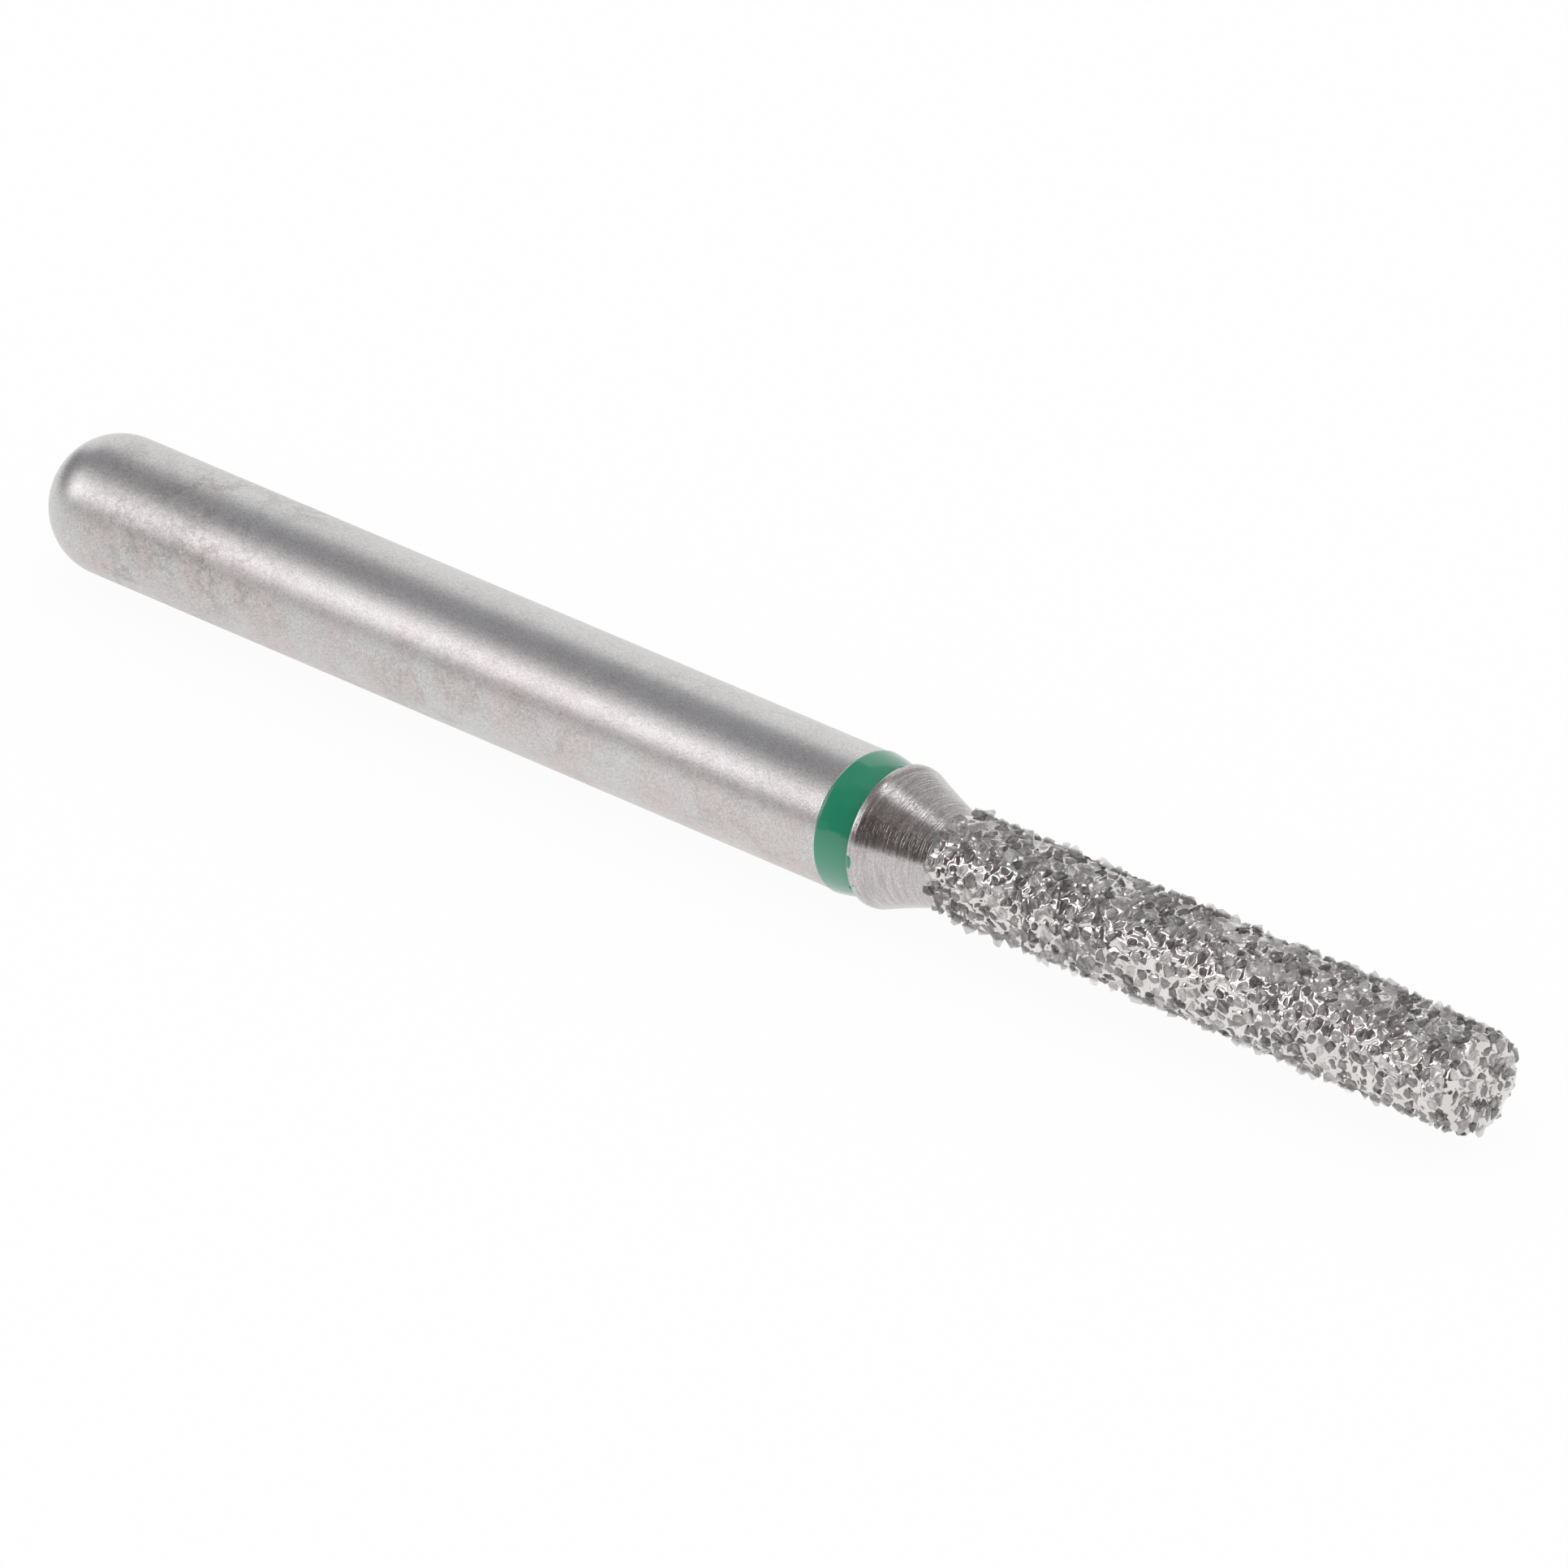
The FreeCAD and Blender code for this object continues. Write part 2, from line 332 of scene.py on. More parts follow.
def ground_steel(colours):
    """Satin ground steel of the shank with its haze, and turned steel on the neck; a painted shade dims the
    lamp's highlight towards the rear.
    """
    material, graph = new_material("ground_steel")
    place, x, _, turn_y, turn_z = object_place(graph)
    rear, front = -5.0 * MM, 4.0 * MM
    on_neck = x.ramp(RING_HIGH.x, RING_HIGH.x + 0.02 * MM)
    handled = (x.ramp(-4.5 * MM, 1.0 * MM, 1.0, 0.35) * x.ramp(-5.8 * MM, -5.0 * MM, 0.1, 1.0)
               * turn_z.ramp(0.3, 0.8, 1.0, 0.65))
    patches = graph.noise(place, 1300, 4, 0.65).ramp(0.40, 0.58)
    flecks = graph.noise(place, 13000, 4, 0.75).ramp(0.50, 0.64)
    haze = patches * flecks * handled
    shore = (graph.noise(place, 1500, 8, 0.72) - 0.5).math("ABSOLUTE").ramp(0.0, 0.040, 1.0, 0.0)
    tide = shore * graph.noise(place, 700, 2, 0.5).ramp(0.44, 0.60) * handled
    dirt_places = graph.noise(place, 1100, 4, 0.7).ramp(0.56, 0.66)
    dirt = dirt_places * graph.noise(place, 17000, 3, 0.7).ramp(0.45, 0.60)
    grain = graph.noise(place, 46000, 3, 0.8)
    # Painted shade: the base colour is darkened towards the rear on the upper side that faces the camera and
    # the lamp, dimming the lamp's highlight there.
    painted_highlight_shade = (x.ramp(rear, front, 1.0, 0.0) * turn_y.ramp(-0.85, 0.1, 1.0, 0.0)
            * turn_z.ramp(-0.5, 0.1, 0.2, 1.0))
    speckle_and_painted_shade = grain.ramp(0.36, 0.64, 0.78, 1.15) * (1 - painted_highlight_shade * 0.07)
    rings = graph.noise(graph.vector(x * 42000, turn_y * 1.8, turn_z * 1.8), 1, 3, 0.7)
    coarse_rings = graph.noise(graph.vector(x * 14000, turn_y * 0.8, turn_z * 0.8), 1, 2, 0.5)
    blushed = graph.mix(patches * turn_z.ramp(0.0, 0.7, 1.0, 0.25), colours.steel, colours.blush)
    hazed = graph.mix(haze * 0.55, blushed, colours.stain)
    shank_colour = graph.mix((dirt * handled * 0.6).math("MAXIMUM", tide * 0.75), hazed, colours.dirt)
    neck_colour = graph.mix(rings.ramp(0.38, 0.62), [c * 0.74 for c in colours.neck], colours.neck)
    base = graph.shaded(graph.mix(on_neck, shank_colour, neck_colour), speckle_and_painted_shade)
    polished_end = x.ramp(-6.0 * MM, -5.3 * MM, 0.11, 0.0)
    satin = x.ramp(rear, front, 0.352, 0.282) + haze * 0.06 - polished_end
    roughness = satin * (1 - on_neck) + on_neck * rings.ramp(0.3, 0.7, 0.15, 0.27)
    grain_bump = graph.bump(grain, 0.0026 * MM, (1 - on_neck) * 0.9)
    ring_strength = on_neck * turn_z.ramp(0.1, 0.5, 0.5, 1.0)
    ring_bump = graph.bump(rings + coarse_rings * 0.7, 0.0070 * MM, ring_strength, grain_bump)
    finish_surface(graph, Base_Color=base, Metallic=1.0, Roughness=roughness, Normal=ring_bump)
    return material


def green_enamel(colours):
    """Fired enamel: glossy, a little uneven in depth, and painted lighter on its lower side as light from
    below.
    """
    material, graph = new_material("green_enamel")
    place, _, _, _, turn_z = object_place(graph)
    cloud = graph.noise(place, 2500, 2, 0.5).ramp(0.3, 0.7)
    # Painted light: lighter towards the lower side as if lit from below, with a little real unevenness in
    # depth.
    painted_underlight_and_depth = turn_z.ramp(-0.5, 0.2, 0.85, 0.0) + cloud * 0.06
    base = graph.mix(painted_underlight_and_depth, colours.enamel, colours.enamel_painted_underlight)
    waves = graph.bump(graph.noise(place, 3000, 2, 0.4), 0.002 * MM, 0.15)
    roughness = graph.noise(place, 20000, 2, 0.5).ramp(0.3, 0.7, 0.18, 0.24)
    finish_surface(graph, Base_Color=base, Roughness=roughness, Coat_Weight=0.8, Coat_Roughness=0.08,
                   IOR=1.52, Normal=waves)
    return material


def plated_nickel(colours):
    """Bright nickel, uneven in fine waves, a little duller in random patches."""
    material, graph = new_material("plated_nickel")
    place = object_place(graph)[0]
    fine = graph.noise(place, 26000, 3, 0.6)
    tint = graph.mix(graph.noise(place, 3000, 2, 0.5).ramp(0.35, 0.65), colours.nickel,
                     [c * 0.86 for c in colours.nickel])
    roughness = fine.ramp(0.30, 0.70, 0.04, 0.18)
    finish_surface(graph, Base_Color=tint, Metallic=1.0, Roughness=roughness,
                   Normal=graph.bump(fine, 0.003 * MM, 0.7))
    return material


def grey_diamond(colours):
    """Cloudy grey crystal; each one has its own tone, and its corners outside the coat are clearer."""
    material, graph = new_material("grey_diamond")
    place, x, radius, _, _ = object_place(graph)
    # How far out a surface lies: from the axis on the wall, from a place inside at the flat tip
    tip_inside = BOND_HIGH.x - 0.50 * MM
    outward = radius.math("MAXIMUM", x - tip_inside)
    clear = outward.ramp(0.576 * MM, 0.618 * MM, 1.0, 0.32)
    tone = graph.node("ShaderNodeAttribute", {"attribute_name": "tone"}, None, "Fac")
    cloud = graph.noise(place, 24000, 3, 0.65).ramp(0.34, 0.66)
    base = graph.mix(tone * tone * tone * 0.95 + cloud * 0.13, colours.crystal_dark, colours.crystal_light)
    roughness = cloud.ramp(0, 1, 0.03, 0.17)
    finish_surface(graph, Base_Color=base, Roughness=roughness, IOR=2.3, Transmission_Weight=0.45,
                   Alpha=tone.ramp(0.0, 1.0, 0.98, 0.76) * clear,
                   Normal=graph.bump(graph.noise(place, 24000, 2, 0.5), 0.003 * MM, 0.3))
    return material


def bulged(start, end, rise, steps):
    """Points of a shallow curve from start to end whose middle stands rise outside the chord."""
    (x0, r0), (x1, r1) = start, end
    chord = math.hypot(x1 - x0, r1 - r0)
    out_x, out_r = -(r1 - r0) / chord, (x1 - x0) / chord
    points = []
    for step in range(steps + 1):
        t = step / steps
        lift = 4 * rise * t * (1 - t)
        points.append((x0 + (x1 - x0) * t + out_x * lift, r0 + (r1 - r0) * t + out_r * lift))
    return points


def quarter(centre, radius, start, steps=6):
    """Points of a quarter turn about centre, clockwise in the profile's plane, from angle start."""
    points = []
    for step in range(steps + 1):
        angle = math.radians(start) - math.pi / 2 * step / steps
        points.append((centre[0] + radius * math.cos(angle), centre[1] + radius * math.sin(angle)))
    return points


def lathe(profile, facets):
    """Closed mesh turned round the X axis. Profile ends on the axis are closed in a point."""
    mesh = bmesh.new()
    loops = []
    for x, radius in profile:
        if radius < 1e-9:
            loops.append([mesh.verts.new((x, 0, 0))])
            continue
        angles = [2 * math.pi * k / facets for k in range(facets)]
        loops.append([mesh.verts.new((x, radius * math.sin(a), radius * math.cos(a))) for a in angles])
    closed = len(loops[0]) > 1
    pairs = list(zip(loops, loops[1:])) + ([(loops[-1], loops[0])] if closed else [])
    for rear, front in pairs:
        for k in range(facets):
            j = (k + 1) % facets
            corners = [rear[k % len(rear)], rear[j % len(rear)], front[j % len(front)], front[k % len(front)]]
            mesh.faces.new(list(dict.fromkeys(corners)))
    bmesh.ops.recalc_face_normals(mesh, faces=mesh.faces)
    return mesh


def add_piece(name, mesh, material, smooth_angle=35):
    """A new object of this bmesh, smooth but for its sharp edges."""
    data = bpy.data.meshes.new(name)
    mesh.to_mesh(data)
    mesh.free()
    piece = bpy.data.objects.new(name, data)
    bpy.context.scene.collection.objects.link(piece)
    data.materials.append(material)
    data.shade_smooth()
    data.set_sharp_from_angle(angle=math.radians(smooth_angle))
    return piece


def hand_over(piece, node):
    """Ties a finished piece to the bur's body and hides the solid that it stands for."""
    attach(piece, BODY)
    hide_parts(node)


def neck_profile(sizes):
    start = (RING_HIGH.x + sizes.rim_width, SHANK_RADIUS + sizes.rim_rise / 2)
    end = (start[0] + sizes.neck_length, sizes.core_radius)
    return bulged(start, end, -sizes.neck_hollow, 40)


def neck_radius(sizes, x):
    """Radius of the bare steel at x, on the neck or the core."""
    points = neck_profile(sizes)
    for (x0, r0), (x1, r1) in zip(points, points[1:]):
        if x0 <= x <= x1:
            return r0 + (r1 - r0) * (x - x0) / (x1 - x0)
    return sizes.core_radius


def blank_profile(sizes):
    """Outline of the turned steel from the round end to the end of the core."""
    edge = sizes.edge_round
    dome = []
    wall_start = BLANK_LOW.x + sizes.dome_height
    for step in range(33):
        angle = math.pi / 2 * step / 32
        dome.append((wall_start - sizes.dome_height * math.cos(angle), SHANK_RADIUS * math.sin(angle)))
    dome[0] = (BLANK_LOW.x, 0)
    wall_end = quarter((RING_LOW.x - edge, SHANK_RADIUS - edge), edge, 90)
    groove = [(RING_LOW.x, sizes.groove_radius), (RING_HIGH.x, sizes.groove_radius)]
    rim_top = SHANK_RADIUS + sizes.rim_rise
    rim = quarter((RING_HIGH.x + edge, rim_top - edge), edge, 180)
    shoulder = bulged(rim[-1], neck_profile(sizes)[0], sizes.rim_rise / 4, 8)[1:-1]
    return dome + wall_end + groove + rim + shoulder + neck_profile(sizes) + [
        (BLANK_HIGH.x, sizes.core_radius), (BLANK_HIGH.x, 0)]


class BUR_OT_blank(bpy.types.Operator):
    """Turn the steel blank: shank with its round end, ring groove, rim, neck and core"""

    bl_idname = "bur.blank"
    bl_label = "Steel blank"

    def execute(self, context):
        settings = context.scene.bur
        mesh = lathe(blank_profile(settings.blank), settings.blank.facets)
        piece = add_piece("bur_blank", mesh, ground_steel(settings.colours))
        hand_over(piece, "steel_blank")
        return {"FINISHED"}


def add_drop(mesh, x, turn, radius, size):
    """A small drop of enamel; size is its length along the bur, its width round it and its height."""
    angle = math.radians(turn)
    along, outward = Vector((1, 0, 0)), Vector((0, -math.cos(angle), math.sin(angle)))
    half_axes = (along * size[0] / 2, outward.cross(along) * size[1] / 2, outward * size[2])
    matrix = Matrix(half_axes).transposed().to_4x4()
    matrix.translation = Vector((x, 0, 0)) + outward * radius
    bmesh.ops.create_icosphere(mesh, subdivisions=3, radius=1, matrix=matrix)


class BUR_OT_ring(bpy.types.Operator):
    """Lay the green enamel ring in its groove"""

    bl_idname = "bur.ring"
    bl_label = "Enamel ring"

    def execute(self, context):
        settings = context.scene.bur
        sizes, floor = settings.ring, settings.blank.groove_radius
        crest = SHANK_RADIUS + sizes.crest
        rear = quarter((RING_LOW.x + sizes.edge_round, crest - sizes.edge_round), sizes.edge_round, 180)
        front = (RING_HIGH.x, floor + sizes.front_thickness)
        profile = ([(RING_LOW.x, floor)] + rear + bulged(rear[-1], front, sizes.bulge, 24)[1:]
                   + [(RING_HIGH.x, floor)])
        mesh = lathe(profile, settings.blank.facets)
        rim_radius = SHANK_RADIUS + settings.blank.rim_rise
        for x, turn, size in ENAMEL_DROPS:
            size = [part * MM for part in size]
            add_drop(mesh, RING_HIGH.x + x * MM, turn, rim_radius - size[2] / 3, size)
        piece = add_piece("bur_ring", mesh, green_enamel(settings.colours))
        hand_over(piece, "colour_ring")
        return {"FINISHED"}


def coat_edge(sizes, turn):
    """Where the ragged rear edge of the coat lies at this turn round the bur."""
    wander = noise.fractal(Vector((math.cos(turn) * 2.6, math.sin(turn) * 2.6, 3.1)), 0.7, 2.0, 3)
    return BOND_LOW.x + 0.03 * MM + sizes.edge_reach * wander


def skin_point(settings, along, turn):
    """Place on the nickel skin and how thick the coat is there, from 0 to 1.

    along goes from 0 on the neck, a little behind the coat's edge, to 1 in the middle of the tip.
    """
    sizes = settings.coat
    fade, sunk, least = 0.06 * MM, 0.012 * MM, 0.02 * MM
    start = BOND_LOW.x - 2.2 * sizes.edge_reach
    tip = BOND_HIGH.x + sizes.tip_rise
    straight = tip - sizes.corner - start
    corner = sizes.corner * math.pi / 2
    flat = sizes.skin_radius - sizes.corner
    walk = along * (straight + corner + flat)
    if walk > straight + corner:
        return tip, sizes.skin_radius - sizes.corner - (walk - straight - corner), 1.0
    if walk > straight:
        angle = (walk - straight) / sizes.corner
        return (tip - sizes.corner + sizes.corner * math.sin(angle),
                flat + sizes.corner * math.cos(angle), 1.0)
    x = start + walk
    steel = neck_radius(settings.blank, x)
    rise = min(max((x - coat_edge(sizes, turn)) / fade, 0), 1)
    rise = rise * rise * (3 - 2 * rise)
    full = max(sizes.skin_radius, steel + least)
    return x, (steel - sunk) * (1 - rise) + full * rise, rise


def skin_mesh(settings, rows, facets):
    """The nickel skin as a fine grid, with the coat's thickness as an attribute."""
    mesh = bmesh.new()
    coat = mesh.verts.layers.float.new("coat")
    loops = []
    for row in range(rows):
        loop = []
        for k in range(facets):
            turn = 2 * math.pi * k / facets
            x, radius, rise = skin_point(settings, row / rows, turn)
            vert = mesh.verts.new((x, radius * math.sin(turn), radius * math.cos(turn)))
            vert[coat] = rise
            loop.append(vert)
        loops.append(loop)
    pole = mesh.verts.new((BOND_HIGH.x + settings.coat.tip_rise, 0, 0))
    pole[coat] = 1.0
    for rear, front in zip(loops, loops[1:]):
        for k in range(facets):
            j = (k + 1) % facets
            mesh.faces.new([rear[k], rear[j], front[j], front[k]])
    for k in range(facets):
        mesh.faces.new([loops[-1][k], loops[-1][(k + 1) % facets], pole])
    inner = mesh.verts.new((BOND_LOW.x, 0, 0))
    for k in range(facets):
        mesh.faces.new([loops[0][(k + 1) % facets], loops[0][k], inner])
    bmesh.ops.recalc_face_normals(mesh, faces=mesh.faces)
    return mesh


def crystal_shape(rng, size):
    """One blocky crystal: the hull of a few points scattered on a squashed ball."""
    mesh = bmesh.new()
    stretch = Vector((rng.uniform(0.90, 1.20), rng.uniform(0.75, 1.05), rng.uniform(0.55, 0.75)))
    for _ in range(rng.randint(10, 14)):
        way = Vector((rng.gauss(0, 1), rng.gauss(0, 1), rng.gauss(0, 1))).normalized()
        reach = size / 2 * rng.uniform(0.84, 1.12)
        mesh.verts.new(Vector([a * b * reach for a, b in zip(way, stretch)]))
    hull = bmesh.ops.convex_hull(mesh, input=mesh.verts)
    spare = {g for g in hull["geom_interior"] + hull["geom_unused"] if isinstance(g, bmesh.types.BMVert)}
    bmesh.ops.delete(mesh, geom=list(spare), context="VERTS")
    bmesh.ops.recalc_face_normals(mesh, faces=mesh.faces)
    return mesh


def crystal_collection(sizes):
    """A few crystal shapes, for the scatter to pick from."""
    rng = random.Random(sizes.seed)
    group = bpy.data.collections.new("crystal_shapes")
    for kind in range(sizes.kinds):
        mesh = crystal_shape(rng, sizes.crystal_size)
        data = bpy.data.meshes.new(f"crystal_{kind}")
        mesh.to_mesh(data)
        mesh.free()
        group.objects.link(bpy.data.objects.new(f"crystal_{kind}", data))
    return group


def new_geometry_tree(name, inputs):
    """A geometry node tree with these named inputs, its graph, its input values and their identifiers."""
    tree = bpy.data.node_groups.new(name, "GeometryNodeTree")
    tree.interface.new_socket("Geometry", in_out="INPUT", socket_type="NodeSocketGeometry")
    tree.interface.new_socket("Geometry", in_out="OUTPUT", socket_type="NodeSocketGeometry")
    identifiers = {}
    for label, kind in inputs.items():
        socket = tree.interface.new_socket(label, in_out="INPUT", socket_type="NodeSocket" + kind)
        identifiers[label] = socket.identifier
    graph = Graph(tree)
    source = tree.nodes.new("NodeGroupInput")
    values = {socket.name: Value(graph, socket) for socket in source.outputs if socket.name}
    return tree, graph, values, identifiers


def run_tree(piece, tree, identifiers, values):
    """Runs a node tree on a piece and leaves the result as its plain mesh."""
    modifier = piece.modifiers.new(tree.name, "NODES")
    modifier.node_group = tree
    for label, value in values.items():
        modifier[identifiers[label]] = value
    depsgraph = bpy.context.evaluated_depsgraph_get()
    result = bpy.data.meshes.new_from_object(piece.evaluated_get(depsgraph))
    old = piece.data
    piece.modifiers.clear()
    piece.data = result
    bpy.data.meshes.remove(old)


def random_between(graph, low, high, seed, kind="FLOAT"):
    """A random number or vector for each element."""
    first = 0 if kind == "FLOAT_VECTOR" else 2
    return graph.node("FunctionNodeRandomValue", {"data_type": kind},
                      {first: low, first + 1: high, "Seed": seed}, 0 if first == 0 else 1)


def grit_tree():
    """Scatters crystals over the coat: close together, turned at will, half bedded in the nickel."""
    tree, graph, given, identifiers = new_geometry_tree("scatter_grit", {
        "Crystals": "Collection", "Spacing": "Float", "Rise": "Float", "Rise range": "Float", "Lean": "Float",
        "Seed": "Int", "Material": "Material"})
    coat = graph.node("GeometryNodeInputNamedAttribute", {"data_type": "FLOAT"}, {"Name": "coat"})
    points = graph.node("GeometryNodeDistributePointsOnFaces", {"distribute_method": "POISSON"},
                        {"Mesh": given["Geometry"], "Distance Min": given["Spacing"], "Density Max": 6.0e8,
                         "Density Factor": coat.ramp(0.15, 0.60, 0.02, 1.0), "Seed": given["Seed"]}, "Points")
    normal = Value(graph, points.socket.node.outputs["Normal"])
    height = random_between(graph, 0.0, 1.0, HEIGHT_SEED) ** 3 * given["Rise range"] + given["Rise"]
    offset = graph.node("ShaderNodeVectorMath", {"operation": "SCALE"}, {0: normal, "Scale": height})
    seated = graph.node("GeometryNodeSetPosition", None, {"Geometry": points, "Offset": offset})
    shapes = graph.node("GeometryNodeCollectionInfo", None,
                        {"Collection": given["Crystals"], "Separate Children": True, "Reset Children": True})
    upright = Value(graph, points.socket.node.outputs["Rotation"])
    leans = [random_between(graph, -1.0, 1.0, seed) for seed in LEAN_SEEDS]
    lean_x, lean_y = [(lean * lean * lean * 0.7 + lean * 0.3) * given["Lean"] for lean in leans]
    turn = graph.vector(lean_x, lean_y, random_between(graph, 0.0, math.tau, SPIN_SEED))
    size = random_between(graph, 0.0, 1.0, SIZE_SEED)
    scale = 0.74 + size * 0.40
    placed = graph.node("GeometryNodeInstanceOnPoints", None,
                        {"Points": seated, "Instance": shapes, "Pick Instance": True,
                         "Rotation": upright, "Scale": scale})
    turned = graph.node("GeometryNodeRotateInstances", None,
                        {"Instances": placed, "Rotation": turn, "Local Space": True})
    tone = random_between(graph, 0.0, 1.0, TONE_SEED)
    toned = graph.node("GeometryNodeStoreNamedAttribute", {"data_type": "FLOAT", "domain": "INSTANCE"},
                       {"Geometry": turned, "Name": "tone", "Value": tone})
    realized = graph.node("GeometryNodeRealizeInstances", None, {0: toned})
    finished = graph.node("GeometryNodeSetMaterial", None,
                          {"Geometry": realized, "Material": given["Material"]})
    graph.node("NodeGroupOutput", None, {"Geometry": finished})
    return tree, identifiers


class BUR_OT_grit(bpy.types.Operator):
    """Scatter the diamond crystals over the head"""

    bl_idname = "bur.grit"
    bl_label = "Diamond grit"

    def execute(self, context):
        settings = context.scene.bur
        sizes = settings.grit
        material = grey_diamond(settings.colours)
        shapes = crystal_collection(sizes)
        piece = add_piece("bur_grit", skin_mesh(settings, 150, 72), material)
        tree, identifiers = grit_tree()
        run_tree(piece, tree, identifiers, {
            "Crystals": shapes, "Spacing": sizes.spacing, "Rise": sizes.rise,
            "Rise range": sizes.rise_range, "Lean": sizes.lean, "Seed": sizes.seed, "Material": material})
        for shape in list(shapes.objects):
            bpy.data.objects.remove(shape)
        bpy.data.collections.remove(shapes)
        hand_over(piece, "diamond_grit")
        return {"FINISHED"}


def nickel_tree():
    """Lets the nickel rise against every crystal and wave a little in between."""
    tree, graph, given, identifiers = new_geometry_tree("plate_nickel", {
        "Crystals": "Object", "Meniscus height": "Float", "Meniscus width": "Float",
        "Waviness": "Float", "Material": "Material"})
    crystals = graph.node("GeometryNodeObjectInfo", None, {"Object": given["Crystals"]}, "Geometry")
    away = graph.node("GeometryNodeProximity", {"target_element": "FACES"}, {0: crystals}, "Distance")
    coat = graph.node("GeometryNodeInputNamedAttribute", {"data_type": "FLOAT"}, {"Name": "coat"})
    position = graph.node("GeometryNodeInputPosition")
    normal = graph.node("GeometryNodeInputNormal")
    fade = (0 - away / given["Meniscus width"]).math("EXPONENT")
    wave = graph.noise(position, 9000, 2, 0.5) - 0.5
    height = (fade * given["Meniscus height"] + wave * 2 * given["Waviness"]) * coat
    offset = graph.node("ShaderNodeVectorMath", {"operation": "SCALE"}, {0: normal, "Scale": height})
    raised = graph.node("GeometryNodeSetPosition", None, {"Geometry": given["Geometry"], "Offset": offset})
    finished = graph.node("GeometryNodeSetMaterial", None, {"Geometry": raised, "Material": given["Material"]})
    graph.node("NodeGroupOutput", None, {"Geometry": finished})
    return tree, identifiers


class BUR_OT_nickel(bpy.types.Operator):
    """Plate the nickel round the crystals"""

    bl_idname = "bur.nickel"
    bl_label = "Nickel bond"

    def execute(self, context):
        settings = context.scene.bur
        sizes = settings.coat
        material = plated_nickel(settings.colours)
        piece = add_piece("bur_nickel", skin_mesh(settings, sizes.facets_along, sizes.facets_round), material)
        tree, identifiers = nickel_tree()
        run_tree(piece, tree, identifiers, {
            "Crystals": bpy.data.objects["bur_grit"], "Meniscus height": sizes.meniscus_height,
            "Meniscus width": sizes.meniscus_width, "Waviness": sizes.waviness, "Material": material})
        hand_over(piece, "nickel_bond")
        return {"FINISHED"}


def tent_place(along, turn, distance):
    """Place on a ball round the bur.

    along is how far the direction leans to +X, from -1 to 1, and turn is its angle round the bur:
    0 degrees is level in front, 90 straight up and 180 level behind.
    """
    across = math.sqrt(max(1 - along * along, 0))
    angle = math.radians(turn)
    return STUDIO_AIM + Vector((along, -across * math.cos(angle), across * math.sin(angle))) * distance


def studio_panel(name, along, turn, brightness):
    """A curved screen that only reflections see."""
    mesh = bmesh.new()
    steps = 12
    grid = []
    for row in range(steps + 1):
        lean = along[0] + (along[1] - along[0]) * row / steps
        turns = [turn[0] + (turn[1] - turn[0]) * column / steps for column in range(steps + 1)]
        grid.append([mesh.verts.new(tent_place(lean, angle, SCREEN_DISTANCE)) for angle in turns])
    for row in range(steps):
        for column in range(steps):
            mesh.faces.new([grid[row][column], grid[row + 1][column],
                            grid[row + 1][column + 1], grid[row][column + 1]])
    material, graph = new_material(name)
    glow = graph.node("ShaderNodeEmission", None, {"Color": (*brightness, 1), "Strength": 1.0})
    graph.node("ShaderNodeOutputMaterial", None, {"Surface": glow})
    panel = add_piece(name, mesh, material)
    panel.visible_camera = False
    panel.visible_diffuse = False
    panel.visible_shadow = False


def seen_directly(graph):
    """1 for the rays that show the background itself: from the camera, or by way of metal or glass."""
    path = graph.node("ShaderNodeLightPath")
    outputs = path.socket.node.outputs
    seen = Value(graph, outputs["Is Camera Ray"])
    for name in ("Is Glossy Ray", "Is Transmission Ray"):
        seen = seen.math("MAXIMUM", Value(graph, outputs[name]))
    return seen


def make_world(studio):
    world = bpy.data.worlds.new("studio_walls")
    bpy.context.scene.world = world
    world.use_nodes = True
    world.node_tree.nodes.clear()
    graph = Graph(world.node_tree)
    strength = seen_directly(graph) * (1 - studio.world_light) + studio.world_light
    wall = graph.node("ShaderNodeBackground", None, {"Color": (1, 1, 1, 1), "Strength": strength})
    graph.node("ShaderNodeOutputWorld", None, {"Surface": wall})


def make_floor(studio):
    mesh = bmesh.new()
    half = 1.5
    floor_level = CAD_LOW.z
    corners = [(-half, -half), (half, -half), (half, half), (-half, half)]
    mesh.faces.new([mesh.verts.new((x, y, floor_level)) for x, y in corners])
    material, graph = new_material("white_floor")
    paper = graph.node("ShaderNodeBsdfDiffuse", None, {"Color": (0.93, 0.93, 0.93, 1)})
    glow = graph.node("ShaderNodeEmission", None, {"Color": (1, 1, 1, 1), "Strength": 1.0})
    surface = graph.node("ShaderNodeMixShader", None,
                         {0: seen_directly(graph) * studio.floor_white, 1: paper, 2: glow})
    graph.node("ShaderNodeOutputMaterial", None, {"Surface": surface})
    add_piece("floor", mesh, material)


def add_lamp(name, along, turn, size, brightness, tint=(1, 1, 1)):
    """A soft square lamp that points at the bur and looks this bright."""
    lamp = bpy.data.lights.new(name, "AREA")
    lamp.color = tint
    lamp.shape = "RECTANGLE"
    lamp.size, lamp.size_y = size
    lamp.energy = brightness * math.pi * size[0] * size[1]
    holder = bpy.data.objects.new(name, lamp)
    bpy.context.scene.collection.objects.link(holder)
    holder.location = tent_place(along, turn, LAMP_DISTANCE)
    holder.rotation_euler = (holder.location - STUDIO_AIM).to_track_quat("Z", "Y").to_euler()


def make_camera(studio):
    lens = bpy.data.cameras.new("camera")
    lens.lens = studio.lens
    lens.sensor_width = 36
    lens.clip_start, lens.clip_end = 0.01, 10
    camera = bpy.data.objects.new("camera", lens)
    bpy.context.scene.collection.objects.link(camera)
    level = math.cos(studio.elevation)
    back = Vector((math.sin(studio.azimuth) * level, -math.cos(studio.azimuth) * level,
                   math.sin(studio.elevation)))
    camera.location = Vector((studio.aim_x, 0, studio.aim_z)) + back * studio.distance
    camera.rotation_euler = (-back).to_track_quat("-Z", "Y").to_euler()
    bpy.context.scene.camera = camera


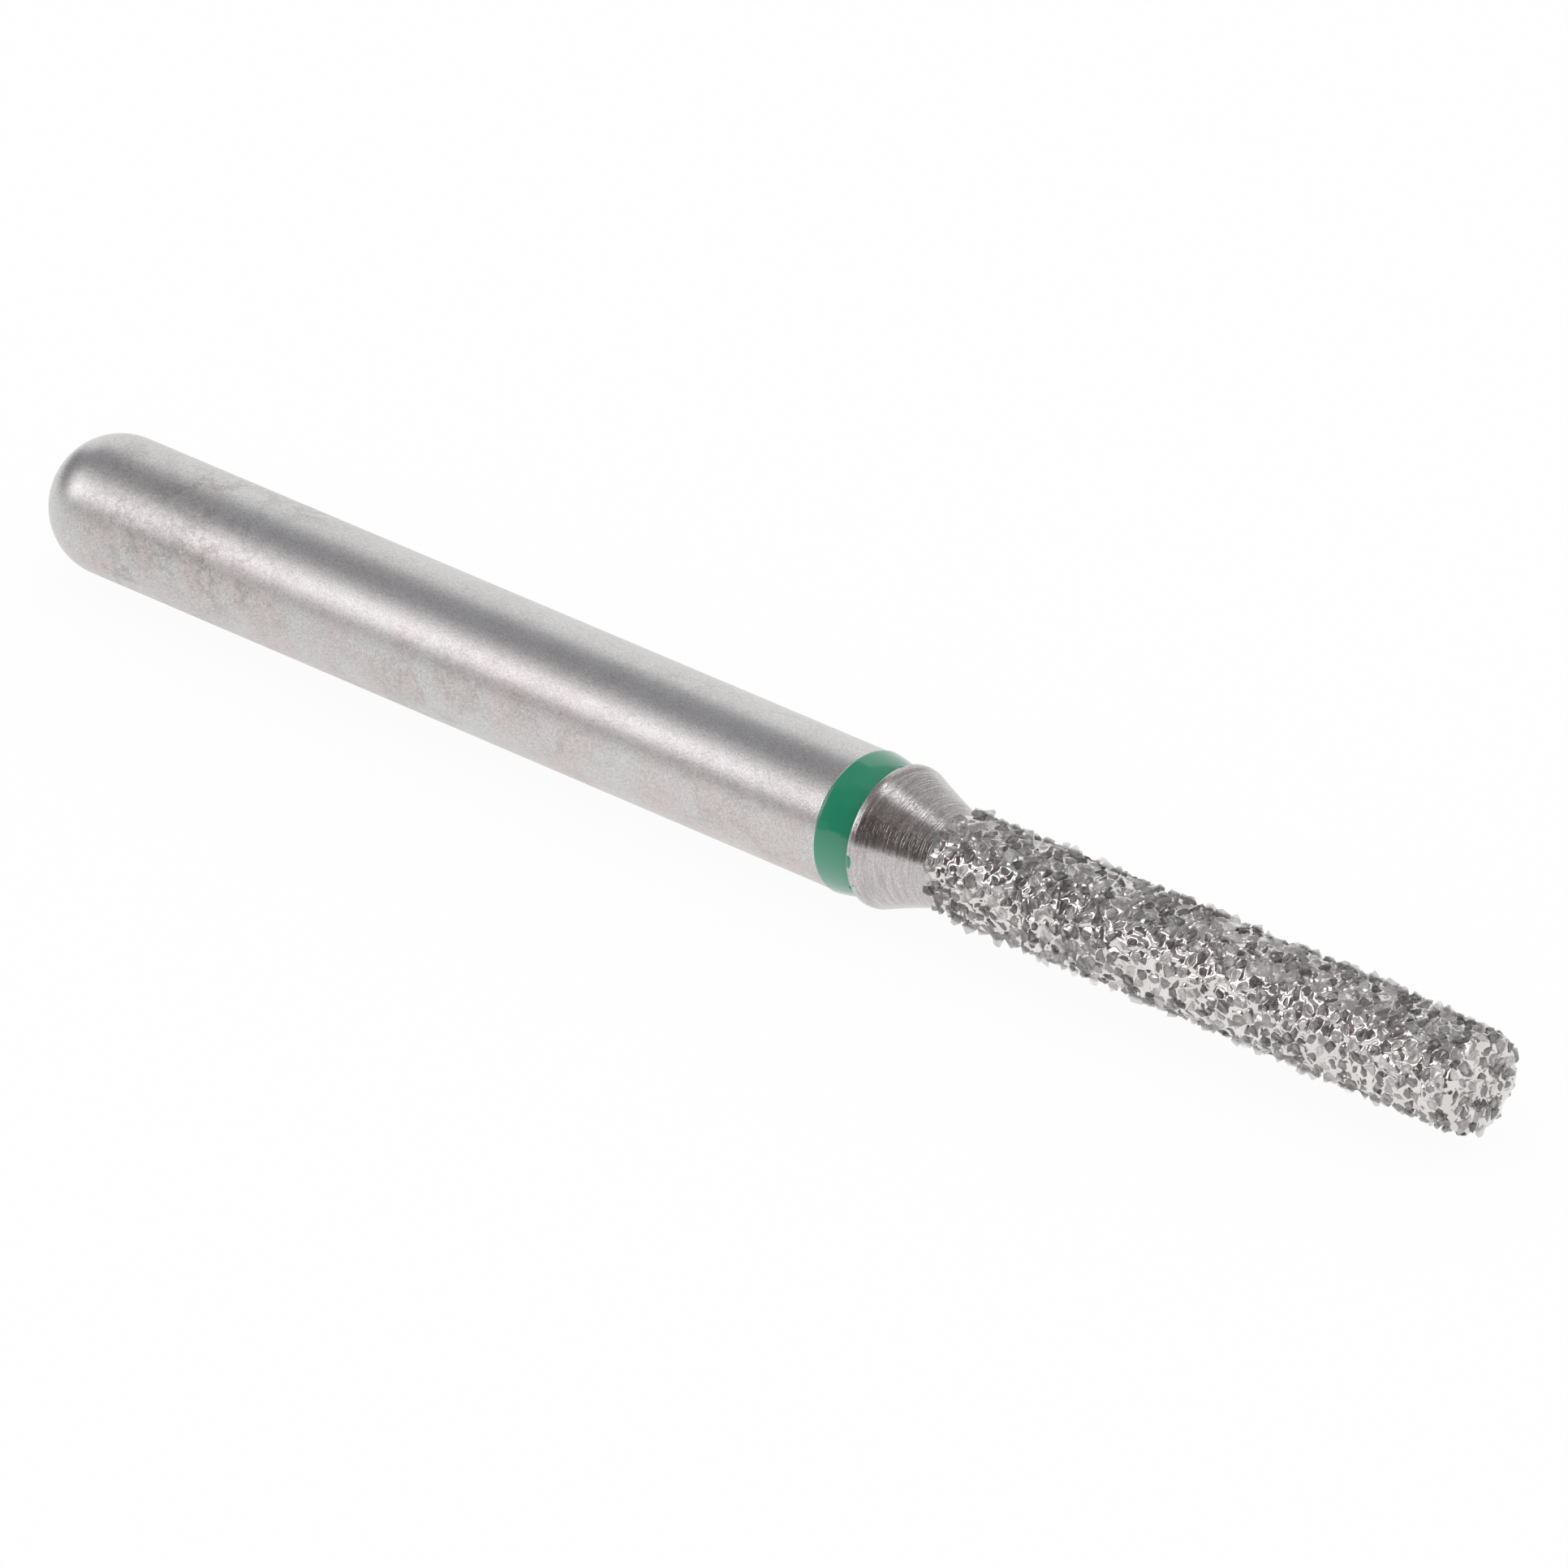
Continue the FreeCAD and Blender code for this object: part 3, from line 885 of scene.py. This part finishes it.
class BUR_OT_stage(bpy.types.Operator):
    """Set up the floor, the lamps, the dark screens and the camera"""

    bl_idname = "bur.stage"
    bl_label = "Studio"

    def execute(self, context):
        studio = context.scene.bur.studio
        make_world(studio)
        make_floor(studio)
        add_lamp("side_lamp", -0.63, 34, (0.13, 0.135), 1.40, (1.0, 0.945, 0.975))
        add_lamp("top_lamp", 0.16, 93, (0.075, 0.05), 3.6)
        for name, (along, turn, brightness) in SCREENS.items():
            studio_panel(name, along, turn, brightness)
        make_camera(studio)
        context.scene.view_settings.view_transform = "Standard"
        return {"FINISHED"}


class BurSettings(bpy.types.PropertyGroup):
    blank: bpy.props.PointerProperty(type=BlankSizes)
    ring: bpy.props.PointerProperty(type=RingSizes)
    coat: bpy.props.PointerProperty(type=CoatSizes)
    grit: bpy.props.PointerProperty(type=GritSizes)
    colours: bpy.props.PointerProperty(type=BurColours)
    studio: bpy.props.PointerProperty(type=StudioSettings)


OPERATORS = (BUR_OT_blank, BUR_OT_ring, BUR_OT_grit, BUR_OT_nickel, BUR_OT_stage)


class BUR_PT_panel(bpy.types.Panel):
    """Buttons and sizes of the dental bur"""

    bl_idname = "BUR_PT_panel"
    bl_label = "Dental bur"
    bl_space_type = "VIEW_3D"
    bl_region_type = "UI"
    bl_category = "Bur"

    def draw(self, context):
        for operator in OPERATORS:
            self.layout.operator(operator.bl_idname)
        settings = context.scene.bur
        for group in (settings.blank, settings.ring, settings.coat, settings.grit, settings.colours,
                      settings.studio):
            box = self.layout.box()
            for name in group.__annotations__:
                box.prop(group, name)


CLASSES = (BlankSizes, RingSizes, CoatSizes, GritSizes, BurColours, StudioSettings, BurSettings,
           *OPERATORS, BUR_PT_panel)


def register():
    for one in CLASSES:
        bpy.utils.register_class(one)
    bpy.types.Scene.bur = bpy.props.PointerProperty(type=BurSettings)


def unregister():
    del bpy.types.Scene.bur
    for one in reversed(CLASSES):
        bpy.utils.unregister_class(one)


def main():
    register()
    bpy.ops.bur.blank()
    bpy.ops.bur.ring()
    bpy.ops.bur.grit()
    bpy.ops.bur.nickel()
    bpy.ops.bur.stage()


if __name__ == "__main__":
    main()
